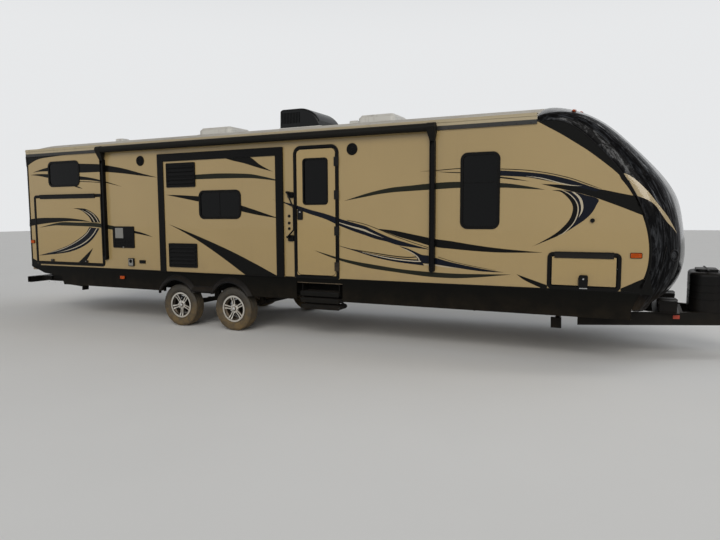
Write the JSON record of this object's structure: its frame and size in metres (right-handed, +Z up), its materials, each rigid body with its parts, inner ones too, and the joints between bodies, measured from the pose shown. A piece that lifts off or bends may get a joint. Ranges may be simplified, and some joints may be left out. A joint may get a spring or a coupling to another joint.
{
  "type": "travel caravan",
  "caption": "Tandem-axle travel caravan with moulded front cap, slide-out room, entry door and steps, outside kitchen hatch, awning, roof fittings and A-frame drawbar with jack.",
  "frame": {"origin": "on the ground at the middle of the overall length, on the body's centreline", "axes": "+X forward to the coupler, +Y to the off side, away from the entry door, +Z up"},
  "size_m": [11.57, 2.627, 3.33],
  "materials": {
    "gelcoat_black": "glossy moulded shell",
    "wall_tan": "smooth laminated skin, semi gloss",
    "roof_white": "weathered membrane",
    "rail_cream": "painted extrusion",
    "floor_board": "sheathed board",
    "skirt_black": "painted sheet, dusty",
    "flare_black": "moulded plastic, dusty",
    "frame_black": "chassis paint with dust",
    "steel_plain": "plated steel",
    "trim_black": "powder coated",
    "glass_dark": "tinted",
    "tyre": "dusty rubber",
    "alloy": "machined face",
    "awning_cover": "rolled awning cloth",
    "shroud_black": "moulded shroud",
    "vent_white": "moulded lid",
    "box_black": "moulded box",
    "lamp_amber": "moulded lens",
    "interior": "laminated board"
  },
  "bodies": {
    "root": {"front_cap": "gelcoat_black", "wall_camp_side": "wall_tan", "wall_off_side": "wall_tan", "wall_rear": "wall_tan", "roof": "roof_white", "roof_rails": "rail_cream", "floor": "floor_board", "skirts": "skirt_black", "wheel_flares": "flare_black", "chassis_rails": "frame_black", "cross_members": "frame_black", "bumper": "frame_black", "drawbar": "frame_black", "coupler": "frame_black", "jack_tube": "trim_black", "springs": "frame_black", "axles": "frame_black", "grab_handle": "trim_black", "door_frames": "trim_black", "window_frames": "trim_black", "window_glass": "glass_dark", "awning_arms": "trim_black", "awning_roller": "awning_cover", "air_conditioner": "shroud_black", "roof_vents": "vent_white", "gas_cover": "box_black", "battery_boxes": "box_black", "step_housing": "frame_black", "lamps": "lamp_amber", "wall_fittings": "box_black", "kitchen_bay": "interior", "kitchen_units": "interior", "storage_deck": "interior"},
    "entry_door": {"entry_leaf": "wall_tan", "entry_glass": "glass_dark"},
    "kitchen_door": {"kitchen_hatch": "wall_tan"},
    "baggage_camp": {"baggage_door_camp": "wall_tan"},
    "baggage_off": {"baggage_door_off": "wall_tan"},
    "slide_out": {"slide_room": "wall_tan", "slide_trim": "trim_black", "slide_window_glass": "glass_dark", "slide_vents": "trim_black"},
    "tongue_jack": {"jack_leg": "steel_plain"},
    "step_link_upper": {"step_arms_upper": "frame_black"},
    "step_middle": {"step_tread_middle": "frame_black"},
    "step_link_lower": {"step_arms_lower": "frame_black"},
    "step_lower": {"step_tread_lower": "frame_black"},
    "wheel_rear_camp": {"tyre_rear_camp": "tyre", "rim_rear_camp": "alloy"},
    "wheel_rear_off": {"tyre_rear_off": "tyre", "rim_rear_off": "alloy"},
    "wheel_front_camp": {"tyre_front_camp": "tyre", "rim_front_camp": "alloy"},
    "wheel_front_off": {"tyre_front_off": "tyre", "rim_front_off": "alloy"},
    "stabiliser_rear_camp": {"leg_rear_camp": "frame_black"},
    "stabiliser_rear_off": {"leg_rear_off": "frame_black"},
    "stabiliser_front_camp": {"leg_front_camp": "frame_black"},
    "stabiliser_front_off": {"leg_front_off": "frame_black"}
  },
  "joints": [
    {"name": "entry_door_hinge", "type": "hinge", "parent": "root", "child": "entry_door", "pos_m": [0.6, -1.2393, 1.7], "axis": [0, 0, 1], "range_deg": [0, 172]},
    {"name": "kitchen_door_hinge", "type": "hinge", "parent": "root", "child": "kitchen_door", "pos_m": [-4.553, -1.2393, 2.075], "axis": [-1, 0, 0], "range_deg": [0, 95]},
    {"name": "baggage_camp_hinge", "type": "hinge", "parent": "root", "child": "baggage_camp", "pos_m": [3.685, -1.2393, 1.281], "axis": [-1, 0, 0], "range_deg": [0, 170]},
    {"name": "baggage_off_hinge", "type": "hinge", "parent": "root", "child": "baggage_off", "pos_m": [3.685, 1.2393, 1.281], "axis": [1, 0, 0], "range_deg": [0, 170]},
    {"name": "slide_out_travel", "type": "slide", "parent": "root", "child": "slide_out", "axis": [0, -1, 0], "range_m": [0, 0.86]},
    {"name": "tongue_jack_travel", "type": "slide", "parent": "root", "child": "tongue_jack", "axis": [0, 0, 1], "range_m": [0, 0.3]},
    {"name": "step_link_upper_hinge", "type": "hinge", "parent": "root", "child": "step_link_upper", "pos_m": [0.2845, -1.195, 0.638], "axis": [-1, 0, 0], "range_deg": [0, 105]},
    {"name": "step_middle_hinge", "type": "hinge", "parent": "step_link_upper", "child": "step_middle", "pos_m": [0.2845, -1, 0.547], "axis": [1, 0, 0], "range_deg": [0, 105]},
    {"name": "step_link_lower_hinge", "type": "hinge", "parent": "step_middle", "child": "step_link_lower", "pos_m": [0.2845, -1.195, 0.547], "axis": [-1, 0, 0], "range_deg": [0, 105]},
    {"name": "step_lower_hinge", "type": "hinge", "parent": "step_link_lower", "child": "step_lower", "pos_m": [0.2845, -1, 0.456], "axis": [1, 0, 0], "range_deg": [0, 105]},
    {"name": "wheel_rear_camp_spin", "type": "hinge", "parent": "root", "child": "wheel_rear_camp", "pos_m": [-2.211, -1.085, 0.328], "axis": [0, 1, 0], "continuous": true},
    {"name": "wheel_rear_off_spin", "type": "hinge", "parent": "root", "child": "wheel_rear_off", "pos_m": [-2.211, 1.085, 0.328], "axis": [0, 1, 0], "continuous": true},
    {"name": "wheel_front_camp_spin", "type": "hinge", "parent": "root", "child": "wheel_front_camp", "pos_m": [-1.206, -1.085, 0.328], "axis": [0, 1, 0], "continuous": true},
    {"name": "wheel_front_off_spin", "type": "hinge", "parent": "root", "child": "wheel_front_off", "pos_m": [-1.206, 1.085, 0.328], "axis": [0, 1, 0], "continuous": true},
    {"name": "stabiliser_rear_camp_hinge", "type": "hinge", "parent": "root", "child": "stabiliser_rear_camp", "pos_m": [-5.223, -0.76, 0.505], "axis": [0, 1, 0], "range_deg": [0, 70]},
    {"name": "stabiliser_rear_off_hinge", "type": "hinge", "parent": "root", "child": "stabiliser_rear_off", "pos_m": [-5.223, 0.76, 0.505], "axis": [0, 1, 0], "range_deg": [0, 70]},
    {"name": "stabiliser_front_camp_hinge", "type": "hinge", "parent": "root", "child": "stabiliser_front_camp", "pos_m": [3.367, -0.47, 0.505], "axis": [1, 0, 0], "range_deg": [0, 64]},
    {"name": "stabiliser_front_off_hinge", "type": "hinge", "parent": "root", "child": "stabiliser_front_off", "pos_m": [3.367, 0.47, 0.505], "axis": [-1, 0, 0], "range_deg": [0, 64]}
  ],
  "couplings": [
    {"joint": "step_middle_hinge", "follows": "step_link_upper_hinge", "ratio": 1},
    {"joint": "step_link_lower_hinge", "follows": "step_link_upper_hinge", "ratio": 1},
    {"joint": "step_lower_hinge", "follows": "step_link_upper_hinge", "ratio": 1}
  ]
}
